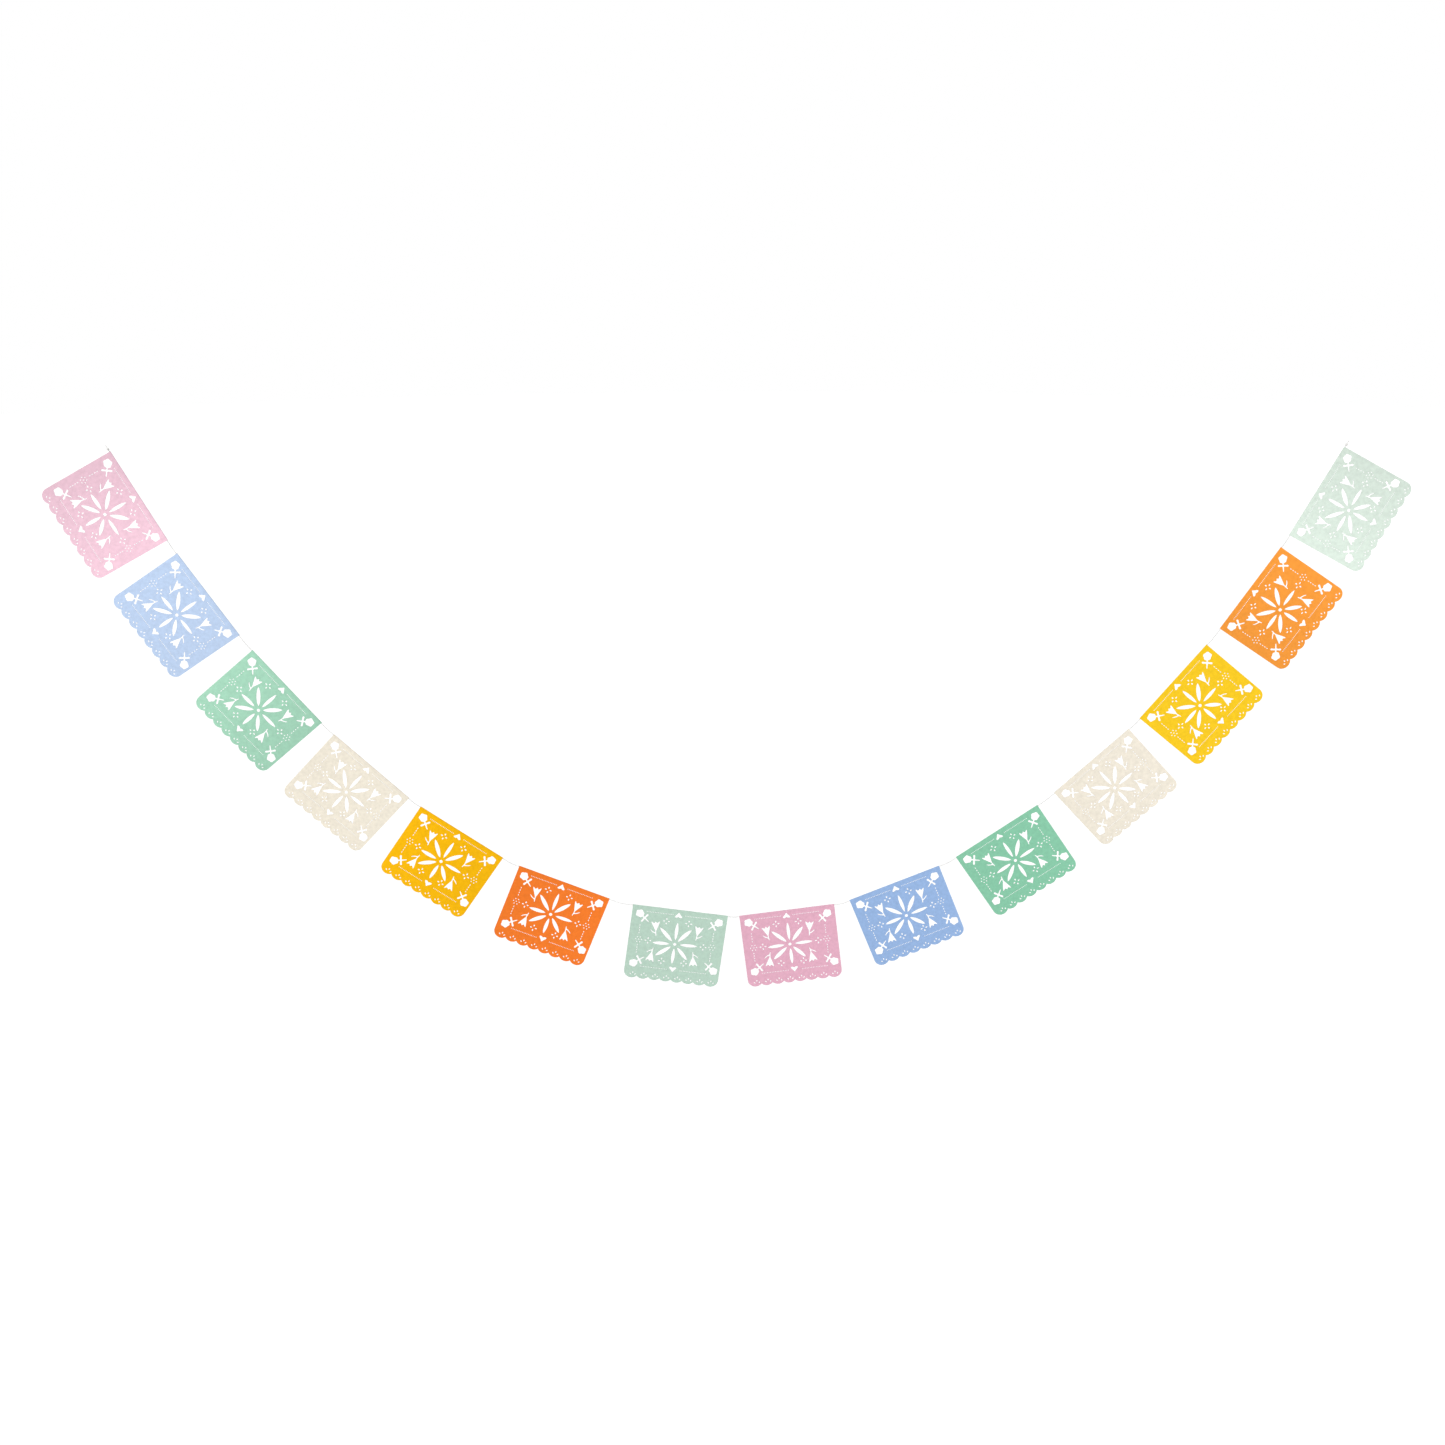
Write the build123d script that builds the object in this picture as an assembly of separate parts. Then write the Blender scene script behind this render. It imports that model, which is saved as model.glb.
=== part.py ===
from build123d import *
from math import atan2, cos, degrees, hypot, pi, radians, sin, tan
import os

# Papel picado banner: fourteen cut paper panels, each folded over one string and glued behind.
# Sizes are in millimetres. The origin is the middle of the knot at the string's left end,
# X runs to the right, Z runs up and the front of the paper faces -Y.

# Paper panel
panel_width = 180.0
panel_height = 148.2
paper_thickness = 0.4
# From the top of the fold down to the flap's lower edge
hem_depth = 5.0
# From the middle of the string down to where the flap meets the front layer
glue_line_depth = 2.4
# Flats that the bend over the string is drawn with
bend_steps = 3

# String, its play inside the fold, and the knot at each end
string_diameter = 1.4
string_sides = 6
string_clearance = 0.3
knot_diameter = 5.0
knot_length = 6.0
# From the knot to the side of the end panel, and the cut tail past the knot
knot_gap = 2.0
tail_length = 9.0

# How the banner hangs: the string's fall at each panel, in degrees below the horizontal
# going right, and the free string between neighbours
panel_slopes = (61.3, 56.5, 49.9, 43.6, 34.8, 22.2, 8.3, -6.9, -21.8, -34.2, -42.6, -50.4, -56.1, -61.4)
panel_gaps = (28.0, 35.0, 30.5, 27.0, 34.5, 46.0, 22.0, 30.5, 36.0, 39.0, 28.0, 37.0, 25.5)
panel_colours = ("pink", "blue", "green", "cream", "yellow", "orange", "mint")
# Share of each gap that the string's bend takes up, so that it runs straight inside the folds
bend_share = 0.9

# Scalloped lower edge
scallop_count = 8
scallop_radius = 14.5
scallop_steps = 4
corner_steps = 4

# Eight-petalled flower in the middle
flower_eye_radius = 3.4
flower_eye_sides = 5
petal_heel_radius = 9.4
petal_width = 8.6
# Each petal's tip, across and down from the flower's centre in per cent of the panel's width and
# height, and its share of the petal width
petals = (
    (0.0, -30.3, 0.86),
    (15.6, -22.2, 1.0),
    (24.1, -0.5, 0.93),
    (15.2, 19.8, 1.0),
    (0.0, 27.5, 0.86),
    (-18.8, 18.6, 1.0),
    (-23.6, 1.0, 0.93),
    (-17.6, -21.1, 1.0),
)
# Where a petal is widest along its length, and the width it keeps there
petal_stations = ((0.3, 0.84), (0.68, 1.0))

# Corner roses, tulips and hearts
rose_radius = 8.7
rose_stem_length = 24.0
rose_stem_width = 3.4
rose_leaf_span = 20.0
rose_leaf_width = 5.6
tulip_width = 15.5
tulip_cup_depth = 17.5
tulip_notch_depth = 2.4
tulip_neck_width = 3.6
tulip_stem_length = 29.5
heart_width = 14.4
heart_height = 11.2

# Middle of each motif in per cent of the panel's width and height, from its top left corner,
# and the motif's turn in degrees
flower_place = (49.0, 47.1, 0)
rose_places = ((8.5, 10.3, 50), (91.8, 10.9, -49), (8.5, 79.4, 128), (93.4, 77.8, -129))
tulip_places = ((26.9, 25.3, 8), (71.7, 25.6, -7), (25.9, 67.9, 172), (70.9, 67.9, -171))
heart_places = ((49.1, 7.5, 180), (50.7, 81.7, 0))

tunnel_radius = string_diameter / 2 + string_clearance
fold_radius = tunnel_radius + paper_thickness
hem_end = fold_radius - hem_depth
panel_foot = fold_radius - panel_height


def place_on_panel(points, place):
    """Turns a motif drawn about its own middle and puts it at its place on the panel."""
    across, down, turn = place
    c = cos(radians(turn))
    s = sin(radians(turn))
    middle_x = panel_width * across / 100
    middle_z = fold_radius - panel_height * down / 100
    return [(middle_x + x * c - z * s, middle_z + x * s + z * c) for x, z in points]


def both_sides(right_half):
    """Closes an outline from its right half, which runs from the top point to the bottom one."""
    left_half = [(-x, z) for x, z in reversed(right_half) if x > 0]
    return right_half + left_half


def petal_outline(tip_across, tip_down, width_share):
    """A leaf-shaped slot from beside the flower's eye out to the petal's tip."""
    tip_x = panel_width * tip_across / 100
    tip_z = -panel_height * tip_down / 100
    length = hypot(tip_x, tip_z)
    out_x = tip_x / length
    out_z = tip_z / length
    half = petal_width * width_share / 2
    slot = length - petal_heel_radius
    right_half = [(0, length)]
    right_half += [(half * share, length - slot * along) for along, share in petal_stations]
    right_half += [(0, petal_heel_radius)]
    return [(x * out_z + z * out_x, z * out_z - x * out_x) for x, z in both_sides(right_half)]


def rose_outline():
    """A five-lobed head and a tapering stem crossed by a pair of leaves, with the stem down."""
    half_stem = rose_stem_width / 2
    leaf_top = -rose_radius - half_stem
    leaf_foot = leaf_top - rose_leaf_width
    right_half = []
    for lobe in range(3):
        angle = 2 * pi * lobe / 5
        right_half.append((rose_radius * sin(angle), rose_radius * cos(angle)))
    right_half += [
        (half_stem, leaf_top),
        (rose_leaf_span / 2, (leaf_top + leaf_foot) / 2),
        (half_stem, leaf_foot),
        (0, -rose_stem_length),
    ]
    return both_sides(right_half)


def tulip_outline():
    """A notched cup that narrows into its stem, drawn with the stem pointing down."""
    half = tulip_width / 2
    cup_top = tulip_cup_depth / 2
    right_half = [
        (0, cup_top - tulip_notch_depth),
        (half, cup_top),
        (tulip_neck_width / 2, -cup_top),
        (0, cup_top - tulip_stem_length),
    ]
    return both_sides(right_half)


def heart_outline():
    """An upright heart."""
    half = heart_width / 2
    right_half = [
        (0, heart_height * 0.25),
        (half * 0.6, heart_height * 0.5),
        (half, heart_height * 0.2),
        (0, -heart_height * 0.5),
    ]
    return both_sides(right_half)


def eye_outline():
    """The round hole in the middle of the flower."""
    corners = [2 * pi * (side + 0.5) / flower_eye_sides for side in range(flower_eye_sides)]
    return [(flower_eye_radius * cos(a), flower_eye_radius * sin(a)) for a in corners]


def cut_outlines():
    """Every cut-out of a panel."""
    outlines = [place_on_panel(eye_outline(), flower_place)]
    outlines += [place_on_panel(petal_outline(*petal), flower_place) for petal in petals]
    outlines += [place_on_panel(rose_outline(), place) for place in rose_places]
    outlines += [place_on_panel(tulip_outline(), place) for place in tulip_places]
    outlines += [place_on_panel(heart_outline(), place) for place in heart_places]
    return outlines


def scallop_points():
    """The lower edge from right to left: a row of equal circles that just reach the sides."""
    pitch = (panel_width - 2 * scallop_radius) / (scallop_count - 1)
    notch_angle = degrees(atan2((scallop_radius**2 - pitch**2 / 4) ** 0.5, pitch / 2))
    points = []
    for scallop in reversed(range(scallop_count)):
        middle_x = scallop_radius + scallop * pitch
        start = 0 if scallop == scallop_count - 1 else notch_angle
        end = 180 if scallop == 0 else 180 - notch_angle
        steps = corner_steps if scallop in (0, scallop_count - 1) else scallop_steps
        first = 0 if scallop == scallop_count - 1 else 1
        for step in range(first, steps + 1):
            angle = radians(start + (end - start) * step / steps)
            x = middle_x + scallop_radius * cos(angle)
            points.append((x, panel_foot + scallop_radius - scallop_radius * sin(angle)))
    return points


def front_layer():
    """The flat front of a panel with its scalloped edge and cut-outs."""
    outline = [(0, 0), (panel_width, 0)] + scallop_points()
    with BuildPart() as layer:
        with BuildSketch(Plane.XZ.offset(tunnel_radius)):
            with BuildLine():
                Polyline(*outline, close=True)
            make_face()
            for cut in cut_outlines():
                with BuildLine():
                    Polyline(*cut, close=True)
                make_face(mode=Mode.SUBTRACT)
        extrude(amount=paper_thickness)
    return layer.part


def bend_points(radius, last_angle):
    """Points over the string from the front layer round to the back of the bend."""
    angles = [180 + (last_angle - 180) * step / bend_steps for step in range(bend_steps + 1)]
    return [(radius * cos(radians(a)), radius * sin(radians(a))) for a in angles]


def hem():
    """The fold: over the string, back to the front layer behind it and down as a glued flap."""
    glue_point = (-tunnel_radius, -glue_line_depth)
    last_angle = 2 * degrees(atan2(glue_line_depth, tunnel_radius)) - 180
    slope = tan(radians(last_angle) + pi / 2)
    outer = bend_points(fold_radius, last_angle)
    back_y, back_z = outer[-1]
    flap_face = paper_thickness - tunnel_radius
    outer += [
        (flap_face, back_z + (flap_face - back_y) * slope),
        (flap_face, hem_end),
        (-fold_radius, hem_end),
    ]
    inner = bend_points(tunnel_radius, last_angle) + [glue_point]
    with BuildPart() as fold:
        with BuildSketch(Plane.YZ):
            with BuildLine():
                Polyline(*outer, close=True)
            make_face()
            with BuildLine():
                Polyline(*inner, close=True)
            make_face(mode=Mode.SUBTRACT)
        extrude(amount=panel_width)
    return fold.part


def along(slope):
    """Unit direction of the string going right, for a fall of so many degrees."""
    return Vector(cos(radians(slope)), 0, -sin(radians(slope)))


def string_route():
    """Places each panel along the string, with one bend of the string in the middle of each gap."""
    corner = Vector(0, 0, 0)
    bends = []
    starts = []
    lead = knot_length / 2 + knot_gap
    gaps = panel_gaps + (2 * lead,)
    before = lead
    for slope, gap in zip(panel_slopes, gaps):
        start = corner + along(slope) * before
        starts.append(start)
        corner = start + along(slope) * (panel_width + gap / 2)
        before = gap / 2
        bends.append(corner)
    left_tail = along(panel_slopes[0]) * -tail_length
    right_knot = bends.pop()
    right_tail = right_knot + along(panel_slopes[-1]) * tail_length
    return starts, [left_tail] + bends + [right_tail], right_knot


def string_section(middle, slope, diameter):
    """The cord's section, or a knot's, square to the string's line."""
    across = Plane(origin=middle, x_dir=(0, 1, 0), z_dir=along(slope))
    return across * RegularPolygon(diameter / 2, string_sides)


def knot(middle, slope):
    """A pulled-tight overhand knot as one barrel on the string's line."""
    stations = ((-1 / 2, string_diameter), (0, knot_diameter), (1 / 2, string_diameter))
    rings = [string_section(middle + along(slope) * (knot_length * s), slope, d) for s, d in stations]
    return loft(rings, ruled=True)


def string(route, right_knot):
    """The whole string: straight inside the folds, one wide bend in each gap, a knot at each end."""
    turns = [abs(b - a) for a, b in zip(panel_slopes, panel_slopes[1:])]
    radii = [gap / 2 * bend_share / tan(radians(turn / 2)) for gap, turn in zip(panel_gaps, turns)]
    path = FilletPolyline(*route, radius=radii)
    section = string_section(route[0], panel_slopes[0], string_diameter)
    line = sweep(section, path=path)
    print("string length", round(path.length, 1), "bend radii", [round(radius) for radius in radii])
    print("volume over section times length", line.volume / (section.area * path.length))
    return line + knot(Vector(0, 0, 0), panel_slopes[0]) + knot(right_knot, panel_slopes[-1])


os.makedirs("parts", exist_ok=True)
starts, route, right_knot = string_route()
panel = front_layer() + hem()
for number, (start, slope) in enumerate(zip(starts, panel_slopes)):
    colour = panel_colours[number % len(panel_colours)]
    placed = Location(start, (0, slope, 0)) * panel
    export_step(placed, f"parts/panel_{number + 1:02d}_{colour}.step")
export_step(string(route, right_knot), "parts/hanging_string.step")
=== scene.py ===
import bmesh
import bpy
from bisect import bisect_left
from math import atan2, cos, degrees, hypot, pi, radians, sin, tau
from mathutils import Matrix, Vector


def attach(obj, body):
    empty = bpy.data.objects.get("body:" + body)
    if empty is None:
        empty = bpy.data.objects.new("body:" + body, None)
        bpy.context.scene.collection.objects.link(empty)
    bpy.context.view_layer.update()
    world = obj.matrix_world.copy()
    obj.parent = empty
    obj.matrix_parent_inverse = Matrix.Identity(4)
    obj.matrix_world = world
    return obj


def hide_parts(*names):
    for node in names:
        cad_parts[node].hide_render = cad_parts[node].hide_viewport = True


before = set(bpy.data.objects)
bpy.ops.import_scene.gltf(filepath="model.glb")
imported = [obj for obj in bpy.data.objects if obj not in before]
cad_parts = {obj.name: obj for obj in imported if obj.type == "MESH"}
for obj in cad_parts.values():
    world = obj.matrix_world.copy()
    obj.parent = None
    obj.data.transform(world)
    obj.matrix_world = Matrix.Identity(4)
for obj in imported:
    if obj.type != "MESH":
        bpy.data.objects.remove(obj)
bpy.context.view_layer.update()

# Camera
# The banner is looked at from the front and a little above, three and a half metres away,
# through a normal lens that keeps the row of panels nearly free of perspective.
camera = bpy.data.objects.new("camera", bpy.data.cameras.new("camera"))
camera.data.lens = 49.0
camera.data.sensor_width = 36.0
camera.location = (0.9896, -3.4505, 0.5078)
camera.rotation_euler = (radians(73.585), radians(0.233), radians(-1.402))
bpy.context.scene.collection.objects.link(camera)
bpy.context.scene.camera = camera
bpy.context.scene.view_settings.view_transform = "Standard"

# String
# One length of three-ply cotton twine runs through the fold of every panel. Glue at each fold
# keeps it straight there, so it bends only in the gaps, where it shows as a fine pale line.
mm = 0.001
string_diameter = 1.4 * mm
# From the middle of a knot to the tip of its tail
tail_length = 9.0 * mm
# How much of the string a knot takes up, and how far it stays from its panel
knot_length = 6.0 * mm
knot_gap = 2.0 * mm
panel_width = 180.0 * mm
# The string's fall at each panel, in degrees below the horizontal going right
panel_slopes = (
    61.3, 56.5, 49.9, 43.6, 34.8, 22.2, 8.3,
    -6.9, -21.8, -34.2, -42.6, -50.4, -56.1, -61.4,
)
# Free string between neighbours, in millimetres
panel_gaps = (28.0, 35.0, 30.5, 27.0, 34.5, 46.0, 22.0, 30.5, 36.0, 39.0, 28.0, 37.0, 25.5)


def along(slope):
    """Unit direction of the string going right, for a fall of so many degrees."""
    return Vector((cos(radians(slope)), 0, -sin(radians(slope))))


# The route starts at the tip of a tail, with the first knot's middle at the origin. It has a
# point at both sides of each panel and one in the middle of each gap.
corner = Vector((0, 0, 0))
route = [along(panel_slopes[0]) * -tail_length]
panel_starts = []
lead = knot_length / 2 + knot_gap
before = lead
for slope, after in zip(panel_slopes, [gap * mm / 2 for gap in panel_gaps] + [lead]):
    start = corner + along(slope) * before
    end = start + along(slope) * panel_width
    corner = end + along(slope) * after
    before = after
    panel_starts.append(start)
    route += [start, end, corner]
right_knot = route.pop()
route.append(right_knot + along(panel_slopes[-1]) * tail_length)

line = bpy.data.curves.new("string_route", "CURVE")
line.dimensions = "3D"
line.resolution_u = 12
spline = line.splines.new("NURBS")
spline.points.add(len(route) - 1)
for point, place in zip(spline.points, route):
    point.co = (*place, 1.0)
spline.order_u = 3
spline.use_endpoint_u = True
line_mesh = bpy.data.meshes.new_from_object(bpy.data.objects.new("string_route", line))
line_points = [v.co.copy() for v in line_mesh.vertices]
line_lengths = [0.0]
for a, b in zip(line_points, line_points[1:]):
    line_lengths.append(line_lengths[-1] + (b - a).length)
string_length = line_lengths[-1]


def on_string(share):
    """Middle, direction and side of the string at a share of its length."""
    distance = share * string_length
    after = min(max(bisect_left(line_lengths, distance), 1), len(line_points) - 1)
    a, b = line_points[after - 1], line_points[after]
    part = (distance - line_lengths[after - 1]) / (line_lengths[after] - line_lengths[after - 1])
    return a.lerp(b, part), (b - a).normalized(), Vector((0, 1, 0))


ply_count = 3
# How far the grooves between the plies go in, as a share of the string's radius
ply_groove = 0.3
twist_pitch = 5.4 * mm
section_sides = 12
rings_per_turn = 8
merge_distance = 0.01 * mm


def laid_twine(path, length, rings):
    """A tube of twisted plies along a path, open or closed on itself."""
    shape = bmesh.new()
    # The grid spans one unit both ways, across for once round the twine and up for all its length
    bmesh.ops.create_grid(shape, x_segments=section_sides, y_segments=rings, size=0.5)
    turns = round(length / twist_pitch)
    for v in shape.verts:
        share = min(max(v.co.y + 0.5, 0.0), 1.0)
        middle, way, side = path(share)
        around = tau * (v.co.x + 0.5)
        radius = string_diameter / 2 * (1 - ply_groove * (1 - cos(ply_count * around)) / 2)
        angle = around + tau * turns * share
        v.co = middle + (side * cos(angle) + way.cross(side) * sin(angle)) * radius
    bmesh.ops.remove_doubles(shape, verts=shape.verts, dist=merge_distance)
    bmesh.ops.holes_fill(shape, edges=shape.edges, sides=section_sides)
    bmesh.ops.recalc_face_normals(shape, faces=shape.faces)
    for face in shape.faces:
        face.smooth = len(face.verts) <= 4
    return shape


def finished(name, shape, material, slot, *nodes):
    """Makes a mesh a piece with its finish, which rides on the banner's one body."""
    mesh = bpy.data.meshes.new(name)
    shape.to_mesh(mesh)
    shape.free()
    mesh.materials.append(material)
    piece = bpy.data.objects.new(name, mesh)
    bpy.context.scene.collection.objects.link(piece)
    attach(piece, "root")
    if nodes:
        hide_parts(*nodes)
    return piece


def linear(colour):
    """A linear colour from its sRGB hex value."""
    parts = [int(colour[i:i + 2], 16) / 255 for i in (1, 3, 5)]
    return [p / 12.92 if p <= 0.04045 else ((p + 0.055) / 1.055) ** 2.4 for p in parts] + [1.0]


def add_node(material, kind, settings, links):
    """Adds a node with its settings, and links its inputs to (node, output) pairs."""
    node = material.node_tree.nodes.new(kind)
    for name, value in settings.items():
        if str(name) in node.bl_rna.properties:
            setattr(node, name, value)
        else:
            node.inputs[name].default_value = value
    for name, (source, output) in links.items():
        material.node_tree.links.new(source.outputs[output], node.inputs[name])
    return node


# Bleached cotton twine is matt and a little hairy. The plies are in the mesh, and fibres half a
# millimetre apart mottle its colour and break up the light on it.
twine = bpy.data.materials.new("cotton_twine")
twine.use_nodes = True
surface = twine.node_tree.nodes["Principled BSDF"]
surface.inputs["Roughness"].default_value = 0.9
surface.inputs["Specular IOR Level"].default_value = 0.2
place = add_node(twine, "ShaderNodeTexCoord", {}, {})
fibre_spacing = 0.5 * mm
fibres = add_node(twine, "ShaderNodeTexNoise", {"Scale": 1 / fibre_spacing, "Detail": 3.0},
                  {"Vector": (place, "Object")})
tones = add_node(twine, "ShaderNodeValToRGB", {}, {"Fac": (fibres, "Fac")})
tones.color_ramp.elements[0].position = 0.3
tones.color_ramp.elements[0].color = linear("#DCDBD8")
tones.color_ramp.elements[1].position = 0.7
tones.color_ramp.elements[1].color = linear("#F5F4F2")
bumps = add_node(twine, "ShaderNodeBump", {"Strength": 0.4, "Distance": 0.1 * mm},
                 {"Height": (fibres, "Fac")})
twine.node_tree.links.new(tones.outputs["Color"], surface.inputs["Base Color"])
twine.node_tree.links.new(bumps.outputs["Normal"], surface.inputs["Normal"])

string_rings = round(string_length / twist_pitch * rings_per_turn)
string = finished("twisted_string", laid_twine(on_string, string_length, string_rings),
                  twine, "cotton_string", "hanging_string")

# Knots
# The string ends in an overhand knot outside the first and the last panel, pulled tight so
# that neither panel slides off. Each knot is the string's own twine wound twice round itself.
knot_turns = 2
knot_weaves = 3
knot_ring_radius = 1.2 * mm
# How far the twine weaves in and out, and to and fro along the string
knot_lap = 0.4 * mm
knot_reach = 1.6 * mm
knot_rings = 160
# The path's direction is taken from the points this share of its length before and after
near_share = 0.001


def knot_path(middle, slope):
    """A closed path that goes round the string in turns while it weaves in and out."""
    axis = along(slope)
    front = Vector((0, -1, 0))
    above = axis.cross(front)

    def point(share):
        around = knot_turns * tau * share
        weave = knot_weaves * tau * share
        out = front * cos(around) + above * sin(around)
        radius = knot_ring_radius + knot_lap * cos(weave)
        return middle + out * radius + axis * knot_reach * sin(weave)

    def path(share):
        here = point(share)
        way = (point(share + near_share) - point(share - near_share)).normalized()
        out = here - middle
        side = (out - way * out.dot(way)).normalized()
        return here, way, side

    return path


knot_twine_length = knot_turns * tau * knot_ring_radius
for end, middle, slope in (
    ("left", Vector((0, 0, 0)), panel_slopes[0]),
    ("right", right_knot, panel_slopes[-1]),
):
    shape = laid_twine(knot_path(middle, slope), knot_twine_length, knot_rings)
    finished(f"{end}_overhand_knot", shape, twine, "cotton_string")

# Paper panels
# Fourteen sheets of tissue paper, cut through a stack with one pattern of punches, so that all
# have the same holes. Each is folded over the string and its short flap is glued behind.
panel_height = 148.2 * mm
paper_thickness = 0.4 * mm
# The hem reaches so far down from the fold's top, and the glued strip of it starts so far
# below the middle of the string
hem_depth = 5.0 * mm
glue_line_depth = 2.4 * mm
string_clearance = 0.3 * mm
tunnel_radius = string_diameter / 2 + string_clearance
fold_radius = tunnel_radius + paper_thickness


def ellipse(length, width, steps):
    """A round or oval hole, drawn upright about its middle."""
    turns = [tau * i / steps for i in range(steps)]
    return [(width / 2 * sin(turn), length / 2 * cos(turn)) for turn in turns]


def both_sides(right_half):
    """Closes an outline from its right half, which runs from the top point to the bottom one."""
    return right_half + [(-x, z) for x, z in reversed(right_half[1:-1])]


# How far along each side of an outline its corners are cut off, as a share of the side
corner_cut = 0.25


def softened(points):
    """Cuts off each corner of an outline twice, which leaves it rounded like a punched hole."""
    for _ in range(2):
        softer = []
        for (ax, az), (bx, bz) in zip(points, points[1:] + points[:1]):
            for share in (corner_cut, 1 - corner_cut):
                softer.append((ax * (1 - share) + bx * share, az * (1 - share) + bz * share))
        points = softer
    return points


def placed(outline, x, down, turn):
    """Puts an outline on the sheet, in millimetres from its top left corner, turned in degrees."""
    c = cos(radians(turn))
    s = sin(radians(turn))
    return [(x + px * c - pz * s, -down + px * s + pz * c) for px, pz in outline]


# Each punch is drawn in millimetres about its own middle, with any stem or point hanging down
petal_steps = 12
# The power that the petals' sides follow: a half for an oval, one for a lens with pointed ends
petal_power = 0.75
rose_radius = 8.6
rose_lobes = 5
# How far the edge of the rose's head swings in and out, as a share of its radius
lobe_swing = 0.1
# The head is drawn in steps of so many degrees from its top, down to where the stem begins
head_step = 18
head_end = 162
# How much higher one of the rose's leaves sits than the stem's crossing, as a share of its reach
leaf_lean = 0.1


def petal(tip_x, tip_down, heel, width):
    """A leaf-shaped hole from beside the flower's eye out to the petal's tip."""
    length = hypot(tip_x, tip_down)
    right_half = []
    for step in range(petal_steps + 1):
        share = step / petal_steps
        half = width / 2 * (4 * share * (1 - share)) ** petal_power
        right_half.append((half, length - (length - heel) * share))
    return placed(both_sides(right_half), 0, 0, degrees(atan2(-tip_x, -tip_down)))


def heart():
    """A heart with wide lobes and a shallow notch."""
    lobe = [(0.0, 2.4), (1.6, 4.1), (4.2, 4.8), (6.7, 4.4), (6.9, 2.6)]
    point = [(5.2, 0.3), (2.7, -2.3), (0.9, -5.2), (0.0, -5.9)]
    return softened(both_sides(lobe + point))


def rose(leaf_side):
    """A lobed head on a tapering stem, and a pair of fat leaves, the higher on the given side."""
    head = []
    for degree in range(0, head_end + 1, head_step):
        radius = rose_radius * (1 - lobe_swing + lobe_swing * cos(radians(rose_lobes * degree)))
        head.append((radius * sin(radians(degree)), radius * cos(radians(degree))))
    neck = [(1.1, -8.7), (1.2, -11.3)]
    leaf = [(4.6, -11.3), (8.0, -10.9), (9.7, -11.8), (9.9, -13.1), (9.4, -14.4)]
    leaf += [(7.8, -14.9), (4.8, -14.4)]
    stem = [(1.2, -14.3), (1.1, -18.6), (1.0, -22.4), (0.5, -24.0), (0.0, -24.2)]
    outline = []
    for x, z in both_sides(head + neck + leaf + stem):
        lean = leaf_lean * leaf_side * x if (abs(x), z) in leaf else 0
        outline.append((x, z + lean))
    return softened(outline)


def tulip(leaf_side):
    """A cup with three points on a stem with one leaf, on the left for -1 and the right for 1."""
    middle_point = [(0.0, 9.4)]
    cup = [(1.1, 7.9), (2.6, 6.0), (4.4, 6.9), (7.1, 9.6), (8.1, 8.4)]
    cup += [(6.4, 3.6), (4.5, -1.0), (2.6, -5.6), (0.9, -9.2)]
    stem = [(0.7, -12.0), (0.6, -15.0), (0.8, -18.0), (0.7, -19.6), (-0.7, -19.6), (-0.8, -17.4)]
    leaf = [(-0.9, -15.7), (-4.7, -13.5), (-8.0, -10.8), (-10.2, -7.5), (-9.9, -6.5)]
    leaf += [(-8.1, -8.0), (-5.2, -10.9), (-1.0, -13.3)]
    left_cup = [(-x, z) for x, z in reversed(cup)]
    outline = middle_point + cup + stem + leaf + left_cup
    return softened([(-x * leaf_side, z) for x, z in outline])


def ring_of(outline, count, radius, first):
    """Like holes round a ring, each pointing outwards from the ring's middle."""
    outer = [(x, z + radius) for x, z in outline]
    return [placed(outer, 0, 0, first + 360 / count * i) for i in range(count)]


flower_middle = (88.2, 69.8)
# Each petal is its tip, across and down from the flower's middle, then how far its heel is from
# the middle, and its width
petals = (
    (0.0, -44.7, 8.4, 6.2), (27.9, -33.0, 7.8, 7.8),
    (43.2, -0.8, 9.5, 6.4), (27.2, 29.4, 7.9, 7.1),
    (0.0, 40.6, 8.6, 6.4), (-33.9, 27.5, 8.2, 7.5),
    (-42.4, 1.5, 10.2, 6.8), (-31.9, -30.7, 7.8, 7.3),
)
# Places are across and down from the sheet's top left corner, then the turn in degrees, and for
# a rose or a tulip the side of its leaf
rose_places = (
    (15.3, 15.6, 50, 1), (165.0, 15.8, -49, -1),
    (15.3, 117.8, 128, -1), (168.2, 115.6, -129, 1),
)
tulip_places = (
    (47.9, 37.5, 8, -1), (128.9, 37.7, -7, 1),
    (46.3, 100.9, 172, 1), (127.3, 100.9, -171, -1),
)
heart_places = ((88.1, 11.0, 180), (91.0, 121.3, 0))
quatrefoil_radius = 4.7
quatrefoil_places = (
    (66.7, 25.2), (109.0, 25.2), (67.5, 106.8),
    (110.2, 106.8), (37.0, 68.5), (142.3, 69.0),
)
rosette_radius = 5.6
rosette_turn = 30
rosette_places = ((19.2, 68.3), (158.8, 67.5))
# A row of pinholes is its first hole, its last one and how far it is down the sheet
pinhole_rows = (
    (28.2, 77.3, 10.3), (100.7, 149.0, 10.3),
    (29.8, 79.0, 122.8), (105.7, 154.0, 122.8),
)
pinhole_pitch = 3.0
dash_columns = (18.2, 158.3)
dash_rows = (39.3, 44.5, 49.6, 54.7, 79.7, 84.8, 90.0, 95.0)
scallop_count = 8
scallop_radius = 14.5
scallop_steps = 10
# The first fan of three seeds above the scallops, and the step to the next
fan_place = (17.0, 137.0)
fan_pitch = 21.4
# Each seed of a fan is its place, across and down from the middle one, and its turn in degrees
fan_seeds = ((0, 0, 0), (-4.5, 3.5, 40), (4.5, 3.5, -40))


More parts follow.
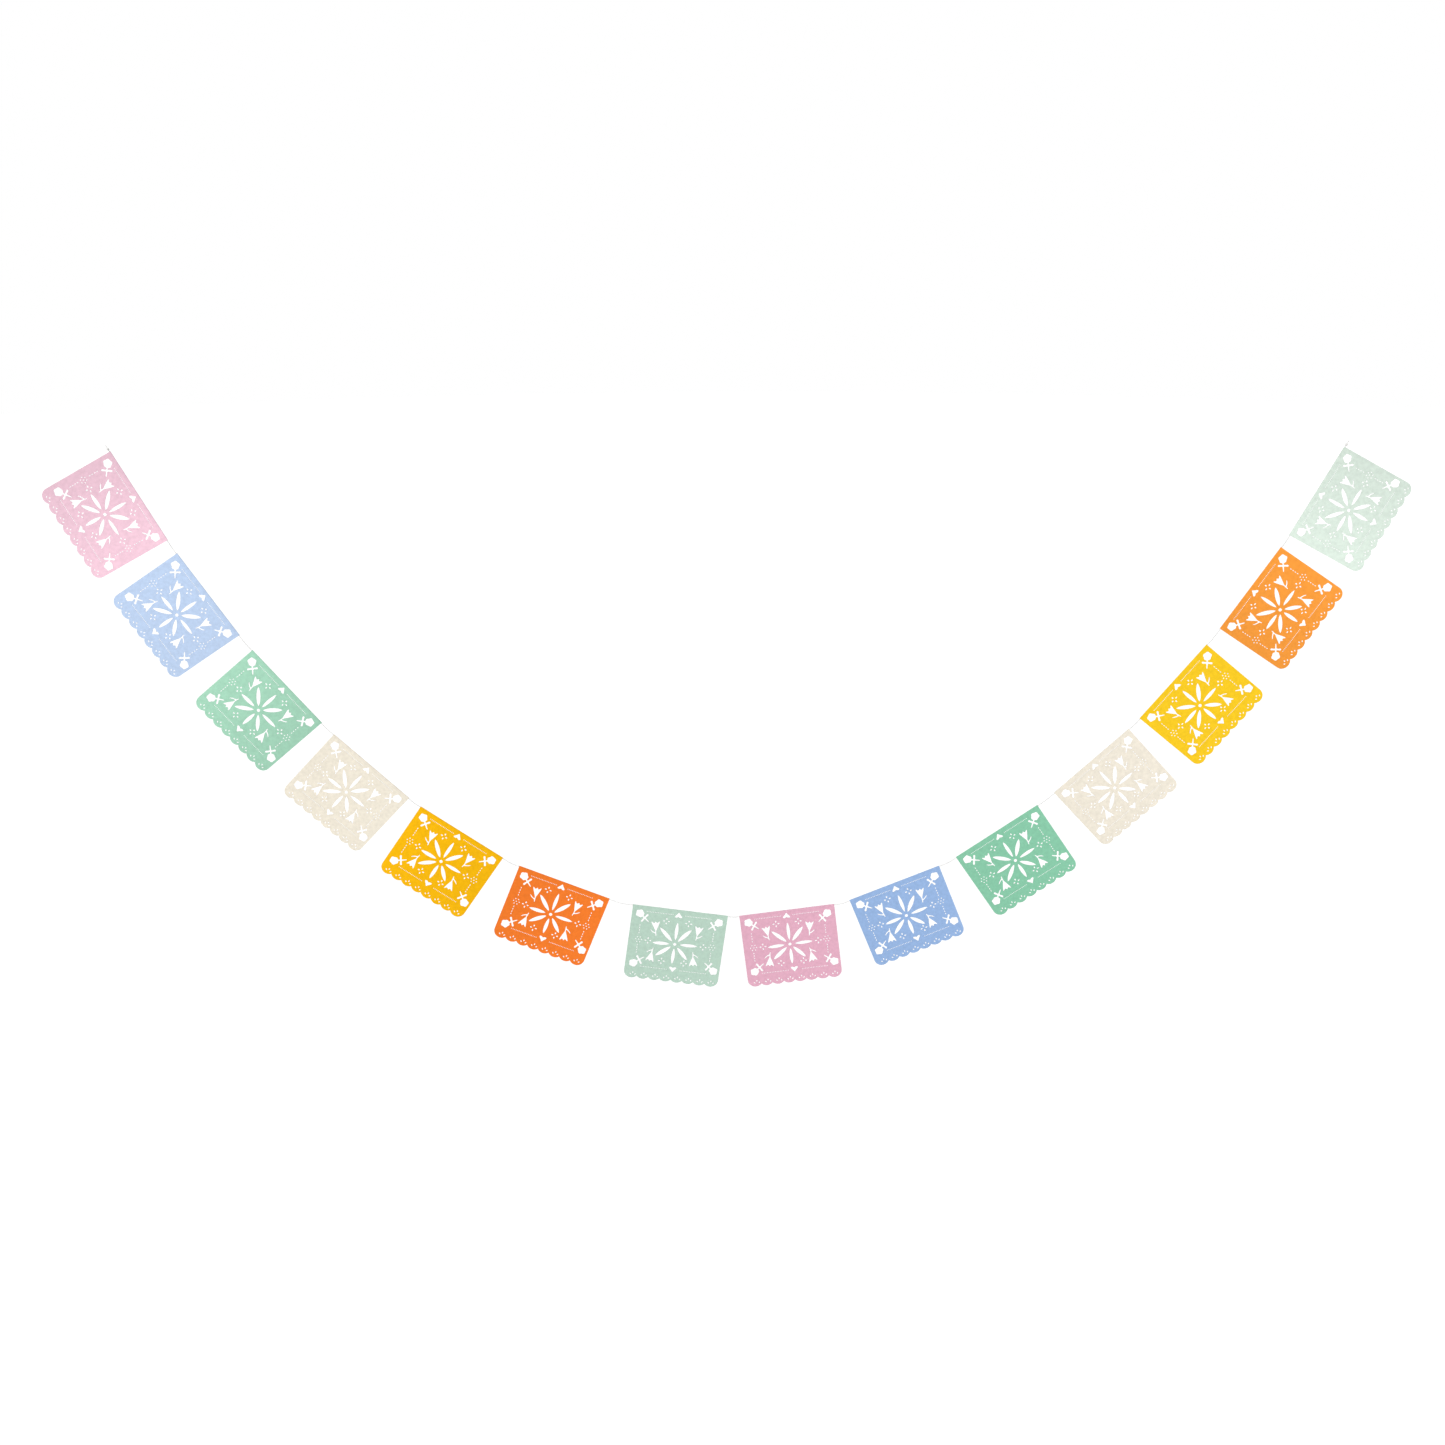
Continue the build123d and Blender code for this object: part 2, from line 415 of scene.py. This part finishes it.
def all_holes():
    """The outlines of all holes of the pattern, in millimetres."""
    eye = ellipse(6.1, 6.1, 16)
    dot = ellipse(2.3, 2.2, 10)
    pinhole = ellipse(1.7, 1.6, 8)
    drop = ellipse(3.9, 2.5, 12)
    dash = ellipse(3.5, 1.4, 10)
    seed = ellipse(3.7, 2.1, 10)
    holes = [placed(eye, *flower_middle, 0)]
    holes += [placed(petal(*sizes), *flower_middle, 0) for sizes in petals]
    holes += [placed(rose(side), x, down, turn) for x, down, turn, side in rose_places]
    holes += [placed(tulip(side), x, down, turn) for x, down, turn, side in tulip_places]
    holes += [placed(heart(), *place) for place in heart_places]
    for place in quatrefoil_places:
        holes += [placed(hole, *place, 0) for hole in ring_of(drop, 4, quatrefoil_radius, 0)]
    for place in rosette_places:
        dots = [dot] + ring_of(dot, 6, rosette_radius, rosette_turn)
        holes += [placed(hole, *place, 0) for hole in dots]
    for first, last, down in pinhole_rows:
        steps = round((last - first) / pinhole_pitch)
        for i in range(steps + 1):
            holes.append(placed(pinhole, first + (last - first) * i / steps, down, 0))
    holes += [placed(dash, x, down, 0) for x in dash_columns for down in dash_rows]
    for i in range(scallop_count):
        x = fan_place[0] + fan_pitch * i
        for out, lower, turn in fan_seeds:
            holes.append(placed(seed, x + out, fan_place[1] + lower, turn))
    return holes


def scallops():
    """The lower edge from right to left: a row of equal circles that just reach the sides."""
    pitch = (panel_width / mm - 2 * scallop_radius) / (scallop_count - 1)
    notch_angle = degrees(atan2((scallop_radius**2 - pitch**2 / 4) ** 0.5, pitch / 2))
    points = []
    for i in reversed(range(scallop_count)):
        start = 0 if i == scallop_count - 1 else notch_angle
        end = 180 if i == 0 else 180 - notch_angle
        for step in range(0 if i == scallop_count - 1 else 1, scallop_steps + 1):
            angle = radians(start + (end - start) * step / scallop_steps)
            x = scallop_radius + pitch * i + scallop_radius * cos(angle)
            points.append((x, scallop_radius - panel_height / mm - scallop_radius * sin(angle)))
    return points


# The sheet goes round the string, down a slant to the glue line and on as the glued strip.
# Heights are along the sheet's outer face from where the flat front ends.
last_angle = 2 * atan2(glue_line_depth, tunnel_radius) - pi
bend_length = fold_radius * (pi - last_angle)
flap_face = paper_thickness - tunnel_radius
slant_length = (fold_radius * cos(last_angle) - flap_face) / -sin(last_angle)
slant_foot = fold_radius * sin(last_angle) - cos(last_angle) * slant_length
sheet_top = bend_length + slant_length + slant_foot + hem_depth - fold_radius


def folded(height):
    """How far back and up a line of the flat sheet lies once the sheet is folded."""
    if height <= 0:
        return -fold_radius, height
    if height <= bend_length:
        angle = pi - height / fold_radius
        return fold_radius * cos(angle), fold_radius * sin(angle)
    past = height - bend_length
    if past <= slant_length:
        back = fold_radius * cos(last_angle) + sin(last_angle) * past
        return back, fold_radius * sin(last_angle) - cos(last_angle) * past
    return flap_face, slant_foot - (past - slant_length)


# The sheet is divided across and down so that it can belly a little, more finely where it
# goes round the string, and round its cut edges for their darker rim
rim_width = 0.3 * mm
bend_steps = 10
belly_pitch = 15.0 * mm
divide_tolerance = 0.001 * mm
# Over this width the front's colour passes from the hem's painted shade to the single sheet's
hem_blend = 0.4 * mm


def add_outline(shape, points):
    """Draws a closed outline on the flat sheet, in millimetres from its front's top left corner."""
    corners = [shape.verts.new((x * mm, 0, z * mm + fold_radius)) for x, z in points]
    for a, b in zip(corners, corners[1:] + corners[:1]):
        shape.edges.new((a, b))


def divide(shape, place, across):
    """Divides the flat sheet along one straight line."""
    everything = shape.verts[:] + shape.edges[:] + shape.faces[:]
    bmesh.ops.bisect_plane(shape, geom=everything, plane_co=place, plane_no=across,
                           dist=divide_tolerance)


flat_sheet = bmesh.new()
sheet_width = panel_width / mm
flat_top = (sheet_top - fold_radius) / mm
add_outline(flat_sheet, [(0, flat_top), (sheet_width, flat_top)] + scallops())
for hole in all_holes():
    add_outline(flat_sheet, hole)
bmesh.ops.triangle_fill(flat_sheet, edges=flat_sheet.edges, use_beauty=True, normal=(0, -1, 0))
bmesh.ops.recalc_face_normals(flat_sheet, faces=flat_sheet.faces)
# The sheet's face looks to the front, and its thickness goes back from there
if flat_sheet.faces[0].normal.y > 0:
    bmesh.ops.reverse_faces(flat_sheet, faces=flat_sheet.faces)
# The flat sheet's area before it is folded, once its holes and foot are cut
flat_area = sum(face.calc_area() for face in flat_sheet.faces)
bmesh.ops.inset_region(flat_sheet, faces=flat_sheet.faces, thickness=rim_width,
                       use_boundary=True, use_even_offset=True)
# The cut edges and the hem, where the paper lies in two layers and is painted a shade deeper along
# the fold, are attributes that its colour reads
cut_edge = flat_sheet.verts.layers.float.new("cut_edge")
for v in flat_sheet.verts:
    v[cut_edge] = float(v.is_boundary)
for i in range(1, round(panel_width / belly_pitch)):
    divide(flat_sheet, (belly_pitch * i, 0, 0), (1, 0, 0))
for i in range(1, round(panel_height / belly_pitch)):
    divide(flat_sheet, (0, 0, -belly_pitch * i), (0, 0, 1))
for i in range(bend_steps + 1):
    divide(flat_sheet, (0, 0, bend_length * i / bend_steps), (0, 0, 1))
divide(flat_sheet, (0, 0, bend_length + slant_length), (0, 0, 1))
hem_end = fold_radius - hem_depth
for height in (hem_end, hem_end - hem_blend):
    divide(flat_sheet, (0, 0, height), (0, 0, 1))
# Painted shade on the hem, the strip in two layers along the fold
doubled_hem_shade = flat_sheet.verts.layers.float.new("doubled_hem_shade")
for v in flat_sheet.verts:
    v[doubled_hem_shade] = float(v.co.z > hem_end - hem_blend / 2)


cloud_size = 6.0 * mm
fibre_size = 0.9 * mm
# The noise that makes the clouds and the fibres stays mostly between these values
noise_range = (0.3, 0.7)
# What the colour is multiplied by in the thickest and thinnest places, on a cut edge, and on the
# hem as painted shade along the fold
cloud_tones = (0.94, 1.05)
fibre_tones = (0.95, 1.045)
edge_shade = 0.78
hem_shade = 0.985


def tissue(name, colour):
    """Tissue paper: soft, matt and a little cloudy, with darker cut edges and a darker hem.

    Dyed pulp settles in clouds a few millimetres wide, drawn a little stronger than they are
    so that they show, and its fibres lie mostly one way. The cut edges are darker in a thin rim.
    The hem, two layers of paper, is painted a shade deeper as painted shade along the fold, and
    one side of each sheet is painted lighter and the other darker as painted light.
    """
    paper = bpy.data.materials.new(name)
    paper.use_nodes = True
    surface = paper.node_tree.nodes["Principled BSDF"]
    surface.inputs["Roughness"].default_value = 0.82
    surface.inputs["Specular IOR Level"].default_value = 0.15
    place = add_node(paper, "ShaderNodeTexCoord", {}, {})
    clouds = add_node(paper, "ShaderNodeTexNoise", {"Scale": 1 / cloud_size, "Detail": 3.0},
                      {"Vector": (place, "Object")})
    grain = add_node(paper, "ShaderNodeMapping", {"Scale": (1.0, 1.0, 3.0)},
                     {"Vector": (place, "Object")})
    fibres = add_node(paper, "ShaderNodeTexNoise", {"Scale": 1 / fibre_size, "Detail": 4.0},
                      {"Vector": (grain, "Vector")})
    edge = add_node(paper, "ShaderNodeAttribute", {"attribute_name": "cut_edge"}, {})
    # The hem's painted shade along the fold
    layers = add_node(paper, "ShaderNodeAttribute", {"attribute_name": "doubled_hem_shade"}, {})
    # Painted light across each sheet, one side lighter and the other darker
    side_light_attribute = add_node(paper, "ShaderNodeAttribute", {"attribute_name": "painted_side_light"}, {})
    # Each of these is mapped from one range to the other, and then all are multiplied
    tone = None
    for source, (least, most), (low, high) in (
        (clouds, noise_range, cloud_tones),
        (fibres, noise_range, fibre_tones),
        (side_light_attribute, (-1.0, 1.0), (0.0, 2.0)),
        (edge, (0.0, 1.0), (1.0, edge_shade)),
        (layers, (0.0, 1.0), (1.0, hem_shade)),
    ):
        limits = {"From Min": least, "From Max": most, "To Min": low, "To Max": high}
        part = add_node(paper, "ShaderNodeMapRange", limits, {"Value": (source, "Fac")})
        if tone:
            product = {0: (tone, tone.outputs[0].name), 1: (part, "Result")}
            part = add_node(paper, "ShaderNodeMath", {"operation": "MULTIPLY"}, product)
        tone = part
    dyed = add_node(paper, "ShaderNodeVectorMath", {"operation": "SCALE", 0: linear(colour)[:3]},
                    {"Scale": (tone, "Value")})
    bumps = add_node(paper, "ShaderNodeBump", {"Strength": 0.25, "Distance": 0.1 * mm},
                     {"Height": (fibres, "Fac")})
    paper.node_tree.links.new(dyed.outputs["Vector"], surface.inputs["Base Color"])
    paper.node_tree.links.new(bumps.outputs["Normal"], surface.inputs["Normal"])
    return paper


# The same seven dyes come twice along the string, each sheet painted paler the higher it hangs
# toward the raised ends: painted light, brighter at the top
paper_colours = ("pink", "blue", "green", "cream", "yellow", "orange", "mint")
dyes_with_painted_light = (
    "#F8CFDF", "#C4D9F7", "#A9DBC0", "#F4ECDB", "#FBBC00", "#F77E2A", "#BCD7C7",
    "#E7B1C6", "#9AB9E5", "#8CCDAC", "#F4ECDC", "#FED022", "#FEA13E", "#E0EFE3",
)
# Painted light: how much lighter each sheet's right side is painted than its middle, with its left
# side darker by as much
painted_light_tilts = (0.08, -0.03, -0.07, 0.0, -0.03, 0.025, 0.01, 0.01, 0.015, 0.015, 0.01, 0.0, 0.05, -0.06)
# Each sheet hangs almost flat. Its two lower corners stand a little back, or forward if minus,
# and its middle bellies a little.
corner_swings = (
    (-3.0, -3.5), (-4.0, -0.5), (-2.5, -0.5), (-3.0, 0.5), (2.0, 0.0), (0.3, -1.5), (2.0, 2.5),
    (3.0, 1.0), (2.0, 3.5), (1.0, 1.5), (2.0, -2.5), (-1.0, -3.5), (2.5, -3.5), (-3.5, -3.5),
)
bellies = (-0.8, 1.2, -1.0, 0.7, -1.4, 0.9, -0.7, 1.0, -1.3, 0.8, -0.9, 1.1, -0.8, 1.3)
# The swing grows as this power of the way down, so that a sheet leaves its fold almost straight
swing_power = 1.5
# A crease sharper than this many degrees keeps its edge, as a cut edge does
sharp_angle = 40
sheets = zip(panel_starts, panel_slopes, dyes_with_painted_light, painted_light_tilts, corner_swings, bellies)
for number, (start, slope, dye_with_painted_light, painted_light_tilt, (left_swing, right_swing), belly) in enumerate(sheets):
    colour = paper_colours[number % len(paper_colours)]
    sheet = flat_sheet.copy()
    painted_side_light = sheet.verts.layers.float.new("painted_side_light")
    up = Vector((sin(radians(slope)), 0, cos(radians(slope))))
    for v in sheet.verts:
        back, height = folded(v.co.z)
        down = min(height, 0) / -panel_height
        right = v.co.x / panel_width
        swing = (left_swing * (1 - right) + right_swing * right) * down**swing_power
        bulge = belly * sin(pi * down) * sin(pi * right)
        # Painted light: one side of the sheet lighter, the other darker
        v[painted_side_light] = painted_light_tilt * (2 * right - 1)
        depth = Vector((0, back + (swing + bulge) * mm, 0))
        v.co = start + along(slope) * v.co.x + depth + up * height
    bmesh.ops.solidify(sheet, geom=sheet.faces[:], thickness=paper_thickness)
    for face in sheet.faces:
        face.smooth = True
    node = f"panel_{number + 1:02d}_{colour}"
    # The sheet's colour holds painted light, paler toward the raised ends
    material = tissue(f"tissue_paper_{number + 1:02d}_{colour}", dye_with_painted_light)
    panel = finished(f"cut_{node}", sheet, material, f"paper_{colour}", node)
    panel.data.set_sharp_from_angle(angle=radians(sharp_angle))
flat_sheet.free()

# Floor and light
# A pale studio floor lies well below the banner, under a white sky. Wide soft lights stand high
# in front and behind, and with the even sky they show a colour about as it is written.
floor_middle = (1.0, 0, -1.6)
floor_radius = 14.0
ground = bmesh.new()
bmesh.ops.create_circle(ground, cap_ends=True, segments=64, radius=floor_radius)
bmesh.ops.translate(ground, verts=ground.verts, vec=floor_middle)
floor_mesh = bpy.data.meshes.new("studio_floor")
ground.to_mesh(floor_mesh)
ground.free()
floor = bpy.data.objects.new("studio_floor", floor_mesh)
bpy.context.scene.collection.objects.link(floor)

# The paint is matt and glows a little for the camera alone, so that the floor shows just white
floor_glow = 0.19
paint = bpy.data.materials.new("matt_white_paint")
paint.use_nodes = True
surface = paint.node_tree.nodes["Principled BSDF"]
surface.inputs["Base Color"].default_value = linear("#FAFAFA")
surface.inputs["Roughness"].default_value = 0.9
surface.inputs["Emission Color"].default_value = (1.0, 1.0, 1.0, 1.0)
rays = add_node(paint, "ShaderNodeLightPath", {}, {})
glow = add_node(paint, "ShaderNodeMath", {"operation": "MULTIPLY", 1: floor_glow},
                {0: (rays, "Is Camera Ray")})
paint.node_tree.links.new(glow.outputs["Value"], surface.inputs["Emission Strength"])
floor.data.materials.append(paint)

# The sky is plain white where it is seen, and dimmer as the light that falls on the banner
sky_light = 0.38
world = bpy.data.worlds.new("white_sky")
bpy.context.scene.world = world
world.use_nodes = True
sky = world.node_tree.nodes["Background"]
sky.inputs["Color"].default_value = (1.0, 1.0, 1.0, 1.0)
rays = add_node(world, "ShaderNodeLightPath", {}, {})
seen = add_node(world, "ShaderNodeMath", {"operation": "MAXIMUM"},
                {0: (rays, "Is Camera Ray"), 1: (rays, "Is Glossy Ray")})
seen = add_node(world, "ShaderNodeMath", {"operation": "MAXIMUM"},
                {0: (seen, "Value"), 1: (rays, "Is Transmission Ray")})
strength = add_node(world, "ShaderNodeMapRange", {"To Min": sky_light, "To Max": 1.0},
                    {"Value": (seen, "Value")})
world.node_tree.links.new(strength.outputs["Result"], sky.inputs["Strength"])

for name, energy, softness, turns in (
    ("key_light", 1.65, 30, (50, 0, -22)),
    ("back_light", 0.9, 40, (50, 0, 160)),
):
    lamp = bpy.data.lights.new(name, "SUN")
    lamp.energy = energy
    lamp.angle = radians(softness)
    lamp_object = bpy.data.objects.new(name, lamp)
    lamp_object.rotation_euler = [radians(turn) for turn in turns]
    bpy.context.scene.collection.objects.link(lamp_object)
